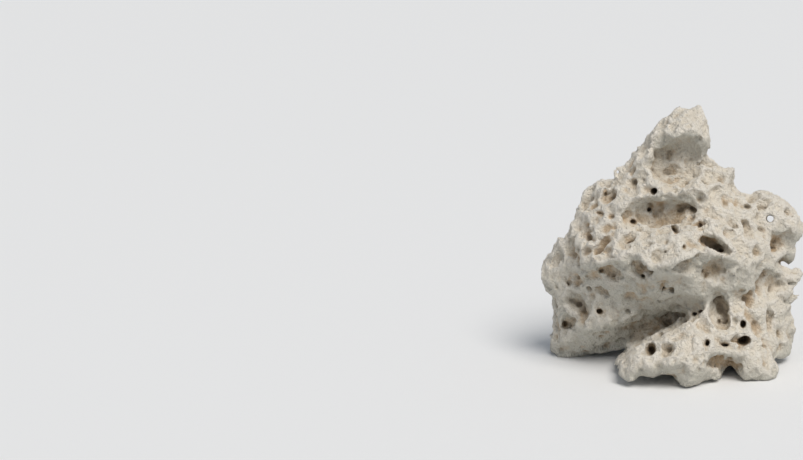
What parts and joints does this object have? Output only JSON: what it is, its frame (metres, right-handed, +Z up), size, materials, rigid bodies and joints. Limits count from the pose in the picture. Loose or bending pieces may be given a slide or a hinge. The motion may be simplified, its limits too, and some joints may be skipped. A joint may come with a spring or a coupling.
{
  "type": "reef rock",
  "caption": "Upright wedge-shaped piece of dry, bored coral limestone with a ledge, hollows and a thin pierced ear, resting on small flat spots.",
  "frame": {"origin": "on the ground under the middle of the rock's bounding box", "axes": "+Z up, -Y towards the viewer of the picture, +X to that viewer's right"},
  "size_m": [0.265, 0.193, 0.2612],
  "materials": {
    "limestone": "matte"
  },
  "bodies": {
    "root": {"reef_rock": "limestone"}
  },
  "joints": []
}
